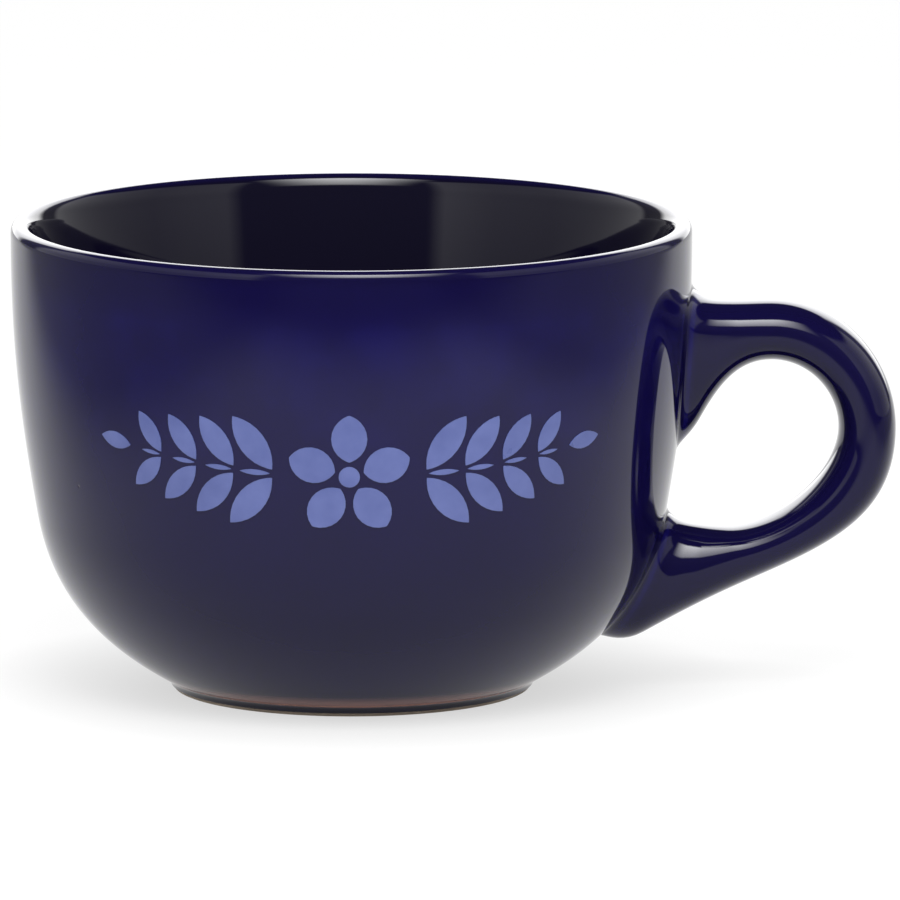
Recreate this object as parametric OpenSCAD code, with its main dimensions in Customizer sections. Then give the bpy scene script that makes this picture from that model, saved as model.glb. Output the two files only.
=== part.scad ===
// Cappuccino mug: a wide glazed stoneware cup with a loop handle stuck on its right side.
// The mug stands on z = 0 with its axis on Z, its handle along +X and its printed front towards -Y.

/* [Bowl] */
// Outside diameter of the wall just below the lip
rim_d = 110; // [88:1:140]
// Height of the lip above the table
height = 76; // [62:1:96]
// How far the wall draws in, in radius, from the lip to where the belly starts
wall_draw = 4.15; // [1:0.05:8]
// Height above the table where the wall turns into the belly
belly_z = 28.5; // [22:0.5:36]
// Lean of the wall at that height, in degrees from upright
belly_lean = 9.8; // [4:0.1:16]
// Wall thickness at the belly
wall = 6.6; // [4.5:0.1:8]
// Wall thickness at the lip
lip = 3.8; // [3:0.1:5]
// Height of the lip's rounding on the outside
lip_round = 1.8; // [1.4:0.1:3]
// Height of the lip's rounding on the inside
inner_round = 3.4; // [2.4:0.1:5]
// Lean of the inside just below the lip, in degrees from upright
inner_lean = 14; // [5:0.5:18]
// Thickness of the floor at its middle
floor_t = 5; // [4:0.1:7]

/* [Foot] */
// Outside diameter of the flat bare ring that the mug stands on
foot_d = 58; // [46:0.5:66]
// Width of that flat ring
foot_ring = 2.6; // [1.6:0.1:4]
// Height of the foot up to where it meets the belly
foot_h = 1.9; // [1.4:0.1:3.2]
// How far the belly stands out past the flat ring there
foot_step = 1.4; // [1:0.1:4]
// Slope of the belly there, in degrees from level
foot_slope = 29; // [20:1:40]
// Depth of the hollow under the floor
recess = 3; // [1.6:0.1:4]
// Height of the bare clay left above the table
bare_h = 0.6; // [0.5:0.1:1]

/* [Handle] */
// Drop from the lip to the top of the handle
handle_drop = 12.65; // [10:0.05:18]
// How far the handle stands out past the widest part of the bowl
handle_reach = 33; // [26:0.1:42]
// Thickness of the loop in its own plane, from the grip down
handle_t = 9.3; // [7:0.1:11]
// Its thickness at the crown
crown_t = 9.75; // [7:0.05:11]
// Width of the loop across that plane
handle_w = 16; // [12:0.1:20]
// Width of the handle's ends where they meet the wall
root_w = 17; // [13:0.1:22]
// Roundness of the loop's section: 2 is an oval, more is boxier
section_power = 2.3; // [2:0.1:3]
// Distance from the bowl's widest radius out to the loop's crown
crown_run = 12.8; // [9:0.1:18]
// Distance from the bowl's widest radius out to the lowest point of the finger hole
strut_run = 5.8; // [3:0.1:9]
// Fall of the lower strut towards the wall, in degrees
strut_fall = 24; // [15:1:35]
// Height above the table of the tip of the handle's lower end, on the wall
lower_root_z = 9; // [7:0.1:12]
// Height of the handle's lower end along the wall
lower_root_h = 18.8; // [14:0.1:24]
// Bare wall between the two ends
wall_gap = 12.7; // [8:0.1:20]
// Dip of the finger hole below the top of the lower end
hole_dip = 1.6; // [0.8:0.1:3]
// How much the top of the handle rises into the wall
root_flare = 1; // [0:0.1:2]

/* [Slip joints] */
// How far the slip fillet runs out along the handle
bead_run = 4.2; // [2:0.1:5]
// How far the slip fillet spreads on the wall
bead_rise = 1.7; // [1:0.1:3]
// How far it spreads below the tip of the lower end, which runs almost flush into the wall
tip_rise = 0.4; // [0.2:0.1:1]
// Thickness of the slip film between the handle and the wall
film = 0.4; // [0.2:0.05:0.8]

/* [Glaze and print] */
// Thickness of the fired glaze
glaze = 0.3; // [0.2:0.05:0.5]
// Thickness of the print on the glaze
print_t = 0.1; // [0.05:0.05:0.2]
// Height of the middle of the print
print_z = 43; // [38:0.5:48]
// Rise of the print's two tips above its middle
print_rise = 4; // [0:0.5:8]
// Diameter of the flower in the middle
flower_d = 20; // [14:0.5:22]
// Length of the leaves beside the flower
leaf_l = 10.5; // [7:0.5:11]
// Width of those leaves
leaf_w = 4.4; // [3:0.1:4.6]
// Distance along the wall from one pair of leaves to the next
leaf_pitch = 6.2; // [6:0.1:7.4]
// Pairs of leaves on each side of the flower
leaf_pairs = 4; // [2:1:5]

/* [Hidden] */
clay_colour = [0.74, 0.68, 0.61];
slip_colour = [0.71, 0.65, 0.58];
glaze_colour = [0.10, 0.09, 0.26];
print_colour = [0.39, 0.45, 0.74];
$fn = 96;

// Share of each chord that a curve's pull takes at both ends, the shares of the lip's outside, the bowl's floor
// and the loop's outside and its hole below the grip, and a fillet's share of the way to its corner
curve_pull = 0.38;
lip_pull = 0.45;
floor_pull = 0.3;
grip_pull = 0.42;
hole_pull = 0.33;
fillet_pull = 2 / 3;
// Points along each stretch of the bowl's section, from the foot over the lip to the middle of the floor
bowl_steps = [4, 14, 12, 6, 6, 12, 7, 12];
// Points along the hollow under the foot
under_steps = [6, 4];
// Sections along each stretch of the handle, from the upper end to the lower end
handle_steps = [1, 9, 11, 11, 7, 1];
// Points round each section of the handle
sides = 24;
// Rings across each of the handle's ends, and across each slip fillet
end_rings = 4;
bead_rings = 5;

rim_r = rim_d / 2;
belly_r = rim_r - wall_draw;
foot_r = foot_d / 2;
recess_r = foot_r - foot_ring;
floor_z = recess + floor_t;

// Direction in the section plane at an angle from level
function heading(a) = [cos(a), sin(a)];

// Point and direction on a cubic
function cubic(a, b, c, d, t) =
    (1 - t) ^ 3 * a + 3 * t * (1 - t) ^ 2 * b + 3 * t ^ 2 * (1 - t) * c + t ^ 3 * d;
function cubic_run(a, b, c, d, t) =
    (1 - t) ^ 2 * (b - a) + 2 * t * (1 - t) * (c - b) + t ^ 2 * (d - c);

// A station is [place, heading], with a third value where the next curve has a pull of its own.
// A curve leaves one station and arrives at the next along their headings.
// It comes back as pairs: a place, and the unit direction to its right.
function pull(p, q) = (is_undef(p[2]) ? curve_pull : p[2]) * norm(q[0] - p[0]);
function curve_place(p, q, t) = cubic(
    p[0], p[0] + pull(p, q) * heading(p[1]), q[0] - pull(p, q) * heading(q[1]), q[0], t);
function curve_run(p, q, t) = cubic_run(
    p[0], p[0] + pull(p, q) * heading(p[1]), q[0] - pull(p, q) * heading(q[1]), q[0], t);
function to_right(v) = [v.y, -v.x] / norm(v);
function curve(p, q, t) = [curve_place(p, q, t), to_right(curve_run(p, q, t))];
function chain(stations, steps) =
    let (last = len(stations) - 1)
    concat(
        [for (i = [0 : last - 1], k = [0 : steps[i] - 1])
            curve(stations[i], stations[i + 1], k / steps[i])],
        [curve(stations[last - 1], stations[last], 1)]);

// Places of a chain, moved to the right by a distance
function shifted(pairs, distance) = [for (pair = pairs) pair[0] + distance * pair[1]];
function part_of(list, from, to) = [for (i = [from : to]) list[i]];
function reversed(list) = [for (i = [len(list) - 1 : -1 : 0]) list[i]];
function total(list, count, i = 0) = i == count ? 0 : list[i] + total(list, count, i + 1);

// Glazed section of the bowl, from the glaze line on the foot, up the outside and over the lip.
// The shares say how far out on the foot's step the glaze line lies, and how far in on the lip its crest is.
line_share = 0.25;
line_heading = 68;
crest_share = 0.41;
outer_stations = [
    [[foot_r + line_share * foot_step, bare_h], line_heading],
    [[foot_r + foot_step, foot_h], foot_slope],
    [[belly_r, belly_z], 90 - belly_lean],
    [[rim_r, height - lip_round], 90, lip_pull],
    [[rim_r - crest_share * lip, height], 180],
];
// Its inside, down from the lip: at the top and the middle of the belly it lies one wall thickness from the
// outside
mid_belly = curve(outer_stations[1], outer_stations[2], 0.5);
mid_heading = atan2(-mid_belly[1].x, mid_belly[1].y);
inner_stations = [
    [[rim_r - lip, height - inner_round], 270 - inner_lean],
    [[belly_r, belly_z] + wall * heading(180 - belly_lean), 270 - belly_lean],
    [mid_belly[0] - wall * mid_belly[1], mid_heading, floor_pull],
    [[0, floor_z], 180],
];
bowl_pairs = chain(concat(outer_stations, inner_stations), bowl_steps);
glazed = shifted(bowl_pairs, 0);
clay = shifted(bowl_pairs, -glaze);
rim_at = total(bowl_steps, 3);
crest_at = total(bowl_steps, 4);
last_at = len(glazed) - 1;

// Glazed section of the hollow under the foot, from the axis out to the glaze line inside the foot ring,
// where its side leans in
under_lean = 0.3;
under_heading = -70;
under_stations = [
    [[0, recess], 0],
    [[recess_r - recess, recess], 0],
    [[recess_r - under_lean, bare_h], under_heading],
];
under_pairs = chain(under_stations, under_steps);
under_glazed = shifted(under_pairs, 0);
under_clay = shifted(under_pairs, -glaze);

// Bare foot ring, from the glaze line inside it to the one outside it
foot_edge = 0.4;
foot_outline = [
    [recess_r, foot_edge],
    [recess_r + foot_edge, 0],
    [foot_r - foot_edge, 0],
    [foot_r, foot_edge],
];

// Radius of the outside of the bowl at a height, on the glaze and on the clay under it
function by_height(places) = [for (p = places) [p.y, p.x]];
glazed_wall = by_height(part_of(glazed, 0, rim_at));
clay_wall = by_height(part_of(clay, 0, rim_at));
function wall_x(y, z, table, lift) = sqrt((lookup(z, table) + lift) ^ 2 - y ^ 2);

// The handle runs between two rails in the plane y = 0: the outer rail is the loop's outline, the inner rail
// is the edge of the finger hole. Both run from the upper end to the lower end.
handle_top = height - handle_drop;
lower_root_top = lower_root_z + lower_root_h;
upper_root_z = lower_root_top + wall_gap;
hole_top = handle_top - crown_t;
hole_bottom = lower_root_top - hole_dip;
grip_x = rim_r + handle_reach;
crown_x = rim_r + crown_run;
strut_x = rim_r + strut_run;
// The loop stands out furthest at this share of the finger hole's height
grip_share = 0.59;
grip_z = hole_bottom + grip_share * (hole_top - hole_bottom);
// Where each rail leaves the slip: along the slope under the upper end, level with the top of the loop,
// part of the way down the dip, and along the pointed tip of the lower end
pit_step = 1.1 * bead_run * heading(43);
top_step = [bead_run, 0];
dip_step = [bead_run, -0.75 * hole_dip];
tip_step = [6.5, -0.25];
// Headings of each rail at the upper end, beside it, beside the lower end and at the lower end
outer_headings = [-20, -4, 209, 180];
inner_headings = [41, 61, 171, 158];
function on_wall(z) = [wall_x(0, z, glazed_wall, 0), z];
outer_rail = [
    [on_wall(handle_top + root_flare), outer_headings[0]],
    [on_wall(handle_top) + top_step, outer_headings[1]],
    [[crown_x, handle_top], 0],
    [[grip_x, grip_z], -90, grip_pull],
    [[strut_x, hole_bottom] + handle_t * heading(strut_fall - 90), 180 + strut_fall],
    [on_wall(lower_root_z) + tip_step, outer_headings[2]],
    [on_wall(lower_root_z), outer_headings[3]],
];
inner_rail = [
    [on_wall(upper_root_z), inner_headings[0]],
    [on_wall(upper_root_z) + pit_step, inner_headings[1]],
    [[crown_x, hole_top], 0],
    [[grip_x - handle_t, grip_z], -90, hole_pull],
    [[strut_x, hole_bottom], 180],
    [on_wall(lower_root_top) + dip_step, inner_headings[2]],
    [on_wall(lower_root_top), inner_headings[3]],
];
outer_places = shifted(chain(outer_rail, handle_steps), 0);
inner_places = shifted(chain(inner_rail, handle_steps), 0);
last_ring = len(outer_places) - 1;

// Half the handle's width at each section: the ends are wider than the loop
function half_width(i) = lookup(i, [
    [0, root_w / 2],
    [1 + handle_steps[1] / 2, handle_w / 2],
    [last_ring - 1 - handle_steps[4] / 2, handle_w / 2],
    [last_ring, root_w / 2],
]);

// Rounded section as shares of its half thickness and half width, from the outer rail round to the +Y side
function bulge(v) = sign(v) * abs(v) ^ (2 / section_power);
round_section = [for (k = [0 : sides - 1]) [bulge(cos(360 * k / sides)), bulge(sin(360 * k / sides))]];

// Each section is widest on a line between the two rails: from the upper end to the crown it stays half the
// crown's thickness below the outer rail, so that the sections are egg-shaped there, and beyond it is midway
crown_ring = handle_steps[0] + handle_steps[1];
function widest(i) =
    let (span = inner_places[i] - outer_places[i])
    outer_places[i] + span * (i < crown_ring ? crown_t / 2 / norm(span) : 1 / 2);

// Section of the handle between the two rails, drawn in by an inset
function drawn_in(arm, inset) = arm * (1 - inset / norm(arm));
function section(i, inset) =
    let (middle = widest(i))
    let (outer_arm = drawn_in(outer_places[i] - middle, inset))
    let (inner_arm = drawn_in(inner_places[i] - middle, inset))
    [for (s = round_section)
        let (place = middle + abs(s[0]) * (s[0] > 0 ? outer_arm : inner_arm))
        [place.x, s[1] * (half_width(i) - inset), place.y]];

// The same shape laid on the wall at an end of the handle: grown by a margin, shrunk to a share about its
// middle, and lifted off the clay. Below the lower end's tip it grows by less.
function tip_grow(i, grow) = i > 0 && grow > 0 ? grow - bead_rise + tip_rise : grow;
function end_ring(i, grow, lift, share = 1) =
    let (middle = widest(i).y)
    let (outer_arm = outer_places[i].y - middle)
    let (inner_arm = inner_places[i].y - middle)
    let (outer_reach = outer_arm + sign(outer_arm) * tip_grow(i, grow))
    let (inner_reach = inner_arm + sign(inner_arm) * grow)
    [for (s = round_section)
        let (y = s[1] * (half_width(i) + grow) * share)
        let (z = middle + abs(s[0]) * (s[0] > 0 ? outer_reach : inner_reach) * share)
        [wall_x(y, z, clay_wall, lift), y, z]];
function end_middle(i, lift) =
    let (z = widest(i).y)
    [wall_x(0, z, clay_wall, lift), 0, z];
function end_disc(i, grow, lift) = [for (n = [1 : end_rings]) end_ring(i, grow, lift, n / end_rings)];

// Hollow fillet from the section beside an end, at t = 0, where it runs on from the loop, out along the wall
// to where it stops, at t = 1
function fillet_ring(end, beside, inset, spread, lift, t) =
    let (before = section(2 * beside - end, inset))
    let (from = section(beside, inset))
    let (corner = end_ring(end, -inset, lift))
    let (to = end_ring(end, spread, lift))
    [for (k = [0 : sides - 1])
        let (run = from[k] - before[k])
        let (near = from[k] + fillet_pull * norm(corner[k] - from[k]) * run / norm(run))
        let (far = to[k] + fillet_pull * (corner[k] - to[k]))
        cubic(from[k], near, far, to[k], t)];
function fillet(end, beside, inset, spread, lift) =
    [for (n = [0 : bead_rings]) fillet_ring(end, beside, inset, spread, lift, n / bead_rings)];
glaze_spread = bead_rise + glaze;

// Closed solids through rings of points: one with a point at each end, one that joins up with itself
function ring_faces(from, to) = [
    for (k = [0 : sides - 1])
        let (next = (k + 1) % sides)
        [from + k, from + next, to + next, to + k]
];
module skin(first, rings, last) {
    tail = 1 + (len(rings) - 1) * sides;
    end = 1 + len(rings) * sides;
    polyhedron(
        concat([first], [for (ring = rings) each ring], [last]),
        concat(
            [for (k = [0 : sides - 1]) [0, 1 + (k + 1) % sides, 1 + k]],
            [for (i = [0 : len(rings) - 2]) each ring_faces(1 + i * sides, 1 + (i + 1) * sides)],
            [for (k = [0 : sides - 1]) [end, tail + k, tail + (k + 1) % sides]]),
        convexity = 6);
}
module looped_skin(rings) {
    count = len(rings);
    polyhedron(
        [for (ring = rings) each ring],
        [for (i = [0 : count - 1]) each ring_faces(i * sides, ((i + 1) % count) * sides)],
        convexity = 6);
}

// Coat of glaze between two outlines of equal length
module coat(outside, inside) {
    rotate_extrude() polygon(concat(outside, reversed(inside)));
}

// Stoneware cup with its lip, floor and foot ring
module bowl() {
    color(clay_colour)
    rotate_extrude() polygon(concat(clay, under_clay, foot_outline));
}

// Stoneware loop, its ends cut to the curve of the wall
module handle() {
    start = end_disc(0, -glaze, film);
    finish = end_disc(last_ring, -glaze, film);
    loop = [for (i = [1 : last_ring - 1]) section(i, glaze)];
    color(clay_colour)
    skin(end_middle(0, film), concat(start, loop, reversed(finish)), end_middle(last_ring, film));
}

// Slip between an end of the handle and the wall, squeezed out into a fillet
function joint_rings(end, beside) = concat(
    end_disc(end, bead_rise, 0),
    part_of(reversed(fillet(end, beside, glaze, bead_rise, 0)), 1, bead_rings),
    reversed(end_disc(end, -glaze, film)));
module upper_joint() {
    color(slip_colour)
    skin(end_middle(0, 0), joint_rings(0, 1), end_middle(0, film));
}
module lower_joint() {
    color(slip_colour)
    skin(
        end_middle(last_ring, film),
        reversed(joint_rings(last_ring, last_ring - 1)),
        end_middle(last_ring, 0));
}

// Glaze on the outside of the bowl, open where the handle's ends are stuck on
module root_window(end) {
    rotate([90, 0, 90])
    linear_extrude(rim_d)
    polygon([for (p = end_ring(end, glaze_spread, 0)) [p.y, p.z]]);
}
module outer_glaze() {
    color(glaze_colour)
    difference() {
        coat(part_of(glazed, 0, crest_at), part_of(clay, 0, crest_at));
        root_window(0);
        root_window(last_ring);
    }
}

// Glaze lining
module inner_glaze() {
    color(glaze_colour)
    coat(part_of(glazed, crest_at, last_at), part_of(clay, crest_at, last_at));
}

// Glaze over the handle and its slip fillets
module handle_glaze() {
    outside = concat(
        reversed(fillet(0, 1, 0, glaze_spread, glaze)),
        [for (i = [2 : last_ring - 2]) section(i, 0)],
        fillet(last_ring, last_ring - 1, 0, glaze_spread, glaze));
    inside = concat(
        [end_ring(0, glaze_spread, 0)],
        reversed(fillet(0, 1, glaze, bead_rise, 0)),
        [for (i = [2 : last_ring - 2]) section(i, glaze)],
        fillet(last_ring, last_ring - 1, glaze, bead_rise, 0),
        [end_ring(last_ring, glaze_spread, 0)]);
    color(glaze_colour)
    looped_skin(concat(outside, reversed(inside)));
}

// Glaze in the hollow under the foot
module underside_glaze() {
    color(glaze_colour)
    coat(under_clay, under_glazed);
}

// Pointed leaf lying along +X from the origin
module leaf(l, w) {
    bow = (l * l / 4 + w * w / 4) / w;
    intersection() {
        translate([l / 2, w / 2 - bow]) circle(bow);
        translate([l / 2, bow - w / 2]) circle(bow);
    }
}

// Prism that stamps a flat shape on the wall, at a distance along the print's bow from its middle
print_half = flower_d / 2 + (leaf_pairs + 1) * leaf_pitch;
module stamp(along) {
    rotate([0, 0, along / (PI * 2 * belly_r) * 360])
    translate([0, 0, print_z + print_rise * (along / print_half) ^ 2])
    rotate([90, 0, 0])
    linear_extrude(rim_d)
    rotate(atan(2 * print_rise * along / print_half ^ 2))
    children();
}

// Flower of pointed petals round a dot
petals = 5;
petal_gap = 0.12 * flower_d;
petal_l = flower_d / 2 - petal_gap;
petal_w = 0.75 * petal_l;
dot_r = 0.7 * petal_gap;
module flower() {
    circle(dot_r);
    for (k = [0 : petals - 1])
        rotate(90 + k * 360 / petals) translate([petal_gap, 0]) leaf(petal_l, petal_w);
}

// One pair of leaves and the bit of stem between them, along +X
leaf_lean = 50;
stem_w = 0.9;
stem_l = 0.8 * leaf_pitch;
stem_start = 0.15 * leaf_pitch;
module leaf_pair() {
    translate([stem_start, 0]) leaf(stem_l, stem_w);
    for (lean = [-leaf_lean, leaf_lean])
        rotate(lean) translate([stem_w, 0]) leaf(leaf_l, leaf_w);
}

// Branch to one side of the flower, with leaves that shrink towards the single leaf at its tip
leaf_shrink = 0.1;
first_leaf = flower_d / 2 + 0.2 * leaf_pitch;
module branch(side) {
    for (k = [0 : leaf_pairs])
        stamp(side * (first_leaf + k * leaf_pitch))
        mirror([side < 0 ? 1 : 0, 0])
        scale(1 - leaf_shrink * k)
        if (k < leaf_pairs) leaf_pair(); else leaf(leaf_l, leaf_w);
}

// Print on the front of the glaze, cut from a band of the wall that is taller than the print
band_margin = 5;
module front_print() {
    reach = flower_d / 2 + print_rise + band_margin;
    band = [for (i = [1 : rim_at]) if (abs(glazed[i].y - print_z) < reach) i];
    pairs = part_of(bowl_pairs, band[0], band[len(band) - 1]);
    color(print_colour)
    intersection() {
        coat(shifted(pairs, print_t), shifted(pairs, 0));
        union() {
            stamp(0) flower();
            branch(-1);
            branch(1);
        }
    }
}

bowl();
handle();
upper_joint();
lower_joint();
outer_glaze();
inner_glaze();
handle_glaze();
underside_glaze();
front_print();
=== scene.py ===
"""A glazed stoneware cappuccino mug: cobalt glaze, bare foot ring, loop handle and a printed garland."""

import math

import bpy
import numpy as np
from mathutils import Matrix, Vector


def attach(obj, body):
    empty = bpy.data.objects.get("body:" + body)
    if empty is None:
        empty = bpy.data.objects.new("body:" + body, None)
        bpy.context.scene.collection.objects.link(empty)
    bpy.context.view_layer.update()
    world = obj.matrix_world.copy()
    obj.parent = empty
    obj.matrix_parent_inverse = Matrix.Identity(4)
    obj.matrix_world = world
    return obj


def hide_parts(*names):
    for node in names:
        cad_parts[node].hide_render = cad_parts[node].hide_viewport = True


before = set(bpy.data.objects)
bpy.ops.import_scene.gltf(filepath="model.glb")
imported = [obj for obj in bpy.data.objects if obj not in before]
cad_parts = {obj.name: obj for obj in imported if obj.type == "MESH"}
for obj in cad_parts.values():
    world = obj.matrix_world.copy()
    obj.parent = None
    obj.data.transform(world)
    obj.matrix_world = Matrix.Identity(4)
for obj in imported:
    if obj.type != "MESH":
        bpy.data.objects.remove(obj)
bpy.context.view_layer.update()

# Bowl, in metres and degrees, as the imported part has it
RIM_R = 0.055
HEIGHT = 0.076
WALL_DRAW = 0.00415
BELLY_R = RIM_R - WALL_DRAW
BELLY_Z = 0.0285
BELLY_LEAN = 9.8
WALL = 0.0066
LIP = 0.0038
LIP_ROUND = 0.0018
INNER_ROUND = 0.0034
INNER_LEAN = 14
CREST_SHARE = 0.41

# Foot
FOOT_R = 0.029
FOOT_RING = 0.0026
FOOT_H = 0.0019
FOOT_STEP = 0.0014
FOOT_SLOPE = 29
FOOT_EDGE = 0.0004
RECESS = 0.003
RECESS_R = FOOT_R - FOOT_RING
FLOOR_T = 0.005
FLOOR_Z = RECESS + FLOOR_T
BARE_H = 0.0006
LINE_SHARE = 0.25
LINE_HEADING = 68
UNDER_LEAN = 0.0003
UNDER_HEADING = -70

# Handle
HANDLE_DROP = 0.01265
HANDLE_TOP = HEIGHT - HANDLE_DROP
HANDLE_T = 0.0093
CROWN_T = 0.00975
HANDLE_W = 0.016
ROOT_W = 0.017
ROOT_EASE = 0.009
ROOT_FLARE = 0.001
SECTION_POWER = 2.3
HANDLE_REACH = 0.033
CROWN_RUN = 0.0128
STRUT_RUN = 0.0058
GRIP_X = RIM_R + HANDLE_REACH
CROWN_X = RIM_R + CROWN_RUN
STRUT_X = RIM_R + STRUT_RUN
STRUT_FALL = 24
LOWER_ROOT_Z = 0.009
LOWER_ROOT_H = 0.0188
LOWER_ROOT_TOP = LOWER_ROOT_Z + LOWER_ROOT_H
WALL_GAP = 0.0127
UPPER_ROOT_Z = LOWER_ROOT_TOP + WALL_GAP
HOLE_DIP = 0.0016
HOLE_TOP = HANDLE_TOP - CROWN_T
HOLE_BOTTOM = LOWER_ROOT_TOP - HOLE_DIP
GRIP_SHARE = 0.59
GRIP_Z = HOLE_BOTTOM + GRIP_SHARE * (HOLE_TOP - HOLE_BOTTOM)

# Slip joints and glaze
BEAD_RUN = 0.0042
BEAD_RISE = 0.0017
TIP_RISE = 0.0004
FILM = 0.0004
NECK_INSET = 0.0008
GLAZE = 0.0003
GLAZE_SPREAD = BEAD_RISE + GLAZE

# Print
PRINT_T = 0.0001
PRINT_Z = 0.043
PRINT_RISE = 0.004
FLOWER_R = 0.01
PETALS = 5
PETAL_GAP = 0.24 * FLOWER_R
PETAL_L = FLOWER_R - PETAL_GAP
PETAL_W = 0.75 * PETAL_L
DOT_R = 0.7 * PETAL_GAP
LEAF_L = 0.0105
LEAF_W = 0.0044
LEAF_PITCH = 0.0062
LEAF_PAIRS = 4
LEAF_LEAN = 50
LEAF_SHRINK = 0.1
FIRST_LEAF = FLOWER_R + 0.2 * LEAF_PITCH
STEM_W = 0.0009
STEM_L = 0.8 * LEAF_PITCH
STEM_START = 0.15 * LEAF_PITCH
PRINT_HALF = FLOWER_R + (LEAF_PAIRS + 1) * LEAF_PITCH

# Shares of each chord that a curve's pull takes at both ends, and a fillet's share of the way
# to its corner
CURVE_PULL = 0.38
LIP_PULL = 0.45
FLOOR_PULL = 0.3
GRIP_PULL = 0.42
HOLE_PULL = 0.33
FILLET_PULL = 2 / 3

# Fineness: columns round the bowl, points on each curve before it is spaced out, points round the handle,
# rings of a fillet and of an end of the handle, and points on a round edge of the foot
AROUND = 128
FINE = 80
SIDES = 64
FILLET_RINGS = 10
END_RINGS = 4
EDGE_POINTS = 7
# The handle's ends lie in blocks of the outside's grid, this many columns to each side and with as many
# rows as give the block's edge one point for each point round the handle; then the rings from that edge
# in to the handle's glaze, and the least margin above and below it
BLOCK_COLUMNS = 6
BLOCK_ROWS = SIDES // 2 - 2 * BLOCK_COLUMNS
BLOCK_RINGS = 5
BLOCK_MARGIN = 0.0016
# Rows of the outside apart from the blocks: below, along and above the foot's bare line, up to the lower
# block, between the blocks, up to the lip and over it
FOOT_ROWS = 3
LINE_ROWS = 8
TINT_ROWS = 6
BELLY_ROWS = 6
GAP_ROWS = 3
WALL_ROWS = 5
LIP_ROWS = 14
# Rows of the inside's lip and of the rest of it, of the clay's inside, and of the underside
INNER_LIP_ROWS = 14
INNER_ROWS = 56
CLAY_ROWS = 69
UNDER_ROWS = 29
# Rows and lanes of a leaf, and degrees between the points round a dot
LEAF_ROWS = 12
LEAF_LANES = 5
DOT_STEP = 15


# Curves

def heading(degrees):
    """Direction in the section plane at an angle from level."""
    angle = math.radians(degrees)
    return np.array([math.cos(angle), math.sin(angle)])


def station(place, degrees, pull=CURVE_PULL):
    """Place that a curve passes, the way it heads there and how hard it is pulled."""
    return np.array(place, dtype=float), heading(degrees), pull


def curve_shares(t):
    """Shares of the four corners of a curve in its place at t, from 0 to 1."""
    return (1 - t) ** 3, 3 * t * (1 - t) ** 2, 3 * t ** 2 * (1 - t), t ** 3


def stretch(start, finish, steps=FINE):
    """Places along the curve between two stations, and the unit directions to their right."""
    first, first_way, pull = start
    last, last_way = finish[:2]
    reach = pull * np.linalg.norm(last - first)
    corners = first, first + reach * first_way, last - reach * last_way, last
    t = np.linspace(0, 1, steps + 1)[:, None]
    places = sum(share * corner for share, corner in zip(curve_shares(t), corners))
    pushes = (1 - t) ** 2, 2 * t * (1 - t), t ** 2
    runs = sum(push * (b - a) for push, a, b in zip(pushes, corners, corners[1:]))
    runs = runs / np.linalg.norm(runs, axis=1, keepdims=True)
    return places, np.stack([runs[:, 1], -runs[:, 0]], axis=1)


def chain(stations, steps=None):
    """Places and right-hand directions through several stations."""
    counts = steps or [FINE] * (len(stations) - 1)
    curves = [stretch(a, b, count) for a, b, count in zip(stations, stations[1:], counts)]
    kept = [[part[:-1] for part in curve] for curve in curves[:-1]] + [list(curves[-1])]
    return [np.concatenate(parts) for parts in zip(*kept)]


def lengths(places):
    """Length along a line of places, from its start."""
    steps = np.linalg.norm(np.diff(places, axis=0), axis=-1)
    return np.concatenate([[0], np.cumsum(steps)])


def spaced(outline, marks):
    """The same outline, with its points at the given lengths from its start."""
    run = lengths(outline[0])
    places, rights = [
        np.stack([np.interp(marks, run, part[:, axis]) for axis in (0, 1)], axis=1) for part in outline
    ]
    return places, rights / np.linalg.norm(rights, axis=1, keepdims=True)


def rows_between(low, high, count):
    """Evenly spaced lengths, without the first."""
    return np.linspace(low, high, count + 1)[1:]


def evenly(outline, count):
    """The same outline, with its points evenly spaced."""
    return spaced(outline, np.linspace(0, lengths(outline[0])[-1], count + 1))


def ease(share):
    """Smooth step from 0 to 1."""
    held = np.clip(share, 0, 1)
    return held * held * (3 - 2 * held)


def risen(z, heights):
    """Smooth share of the way up between two heights."""
    low, high = heights
    return ease((z - low) / (high - low))


# Glazed section of the bowl: outside from the foot to the crest of the lip,
# inside from there to the middle of the floor
outer_stations = [
    station([FOOT_R + LINE_SHARE * FOOT_STEP, BARE_H], LINE_HEADING),
    station([FOOT_R + FOOT_STEP, FOOT_H], FOOT_SLOPE),
    station([BELLY_R, BELLY_Z], 90 - BELLY_LEAN),
    station([RIM_R, HEIGHT - LIP_ROUND], 90, LIP_PULL),
    station([RIM_R - CREST_SHARE * LIP, HEIGHT], 180),
]
outside = chain(outer_stations)
mid_belly, mid_right = [part[1] for part in stretch(outer_stations[1], outer_stations[2], 2)]
mid_degrees = math.degrees(math.atan2(-mid_right[0], mid_right[1]))
inside = chain([
    outer_stations[-1],
    station([RIM_R - LIP, HEIGHT - INNER_ROUND], 270 - INNER_LEAN),
    station(np.array([BELLY_R, BELLY_Z]) + WALL * heading(180 - BELLY_LEAN), 270 - BELLY_LEAN),
    station(mid_belly - WALL * mid_right, mid_degrees, FLOOR_PULL),
    station([0, FLOOR_Z], 180),
])
underside = chain([
    station([0, RECESS], 0),
    station([RECESS_R - RECESS, RECESS], 0),
    station([RECESS_R - UNDER_LEAN, BARE_H], UNDER_HEADING),
])

# Outside of the wall by height, up to where the lip starts to round
wall_places, wall_rights = chain(outer_stations[:-1])


def wall_radius(z, depth=0):
    """Radius of the outside at a height, this deep below the glaze's face."""
    places = wall_places - depth * wall_rights
    return np.interp(z, places[:, 1], places[:, 0])


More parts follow.
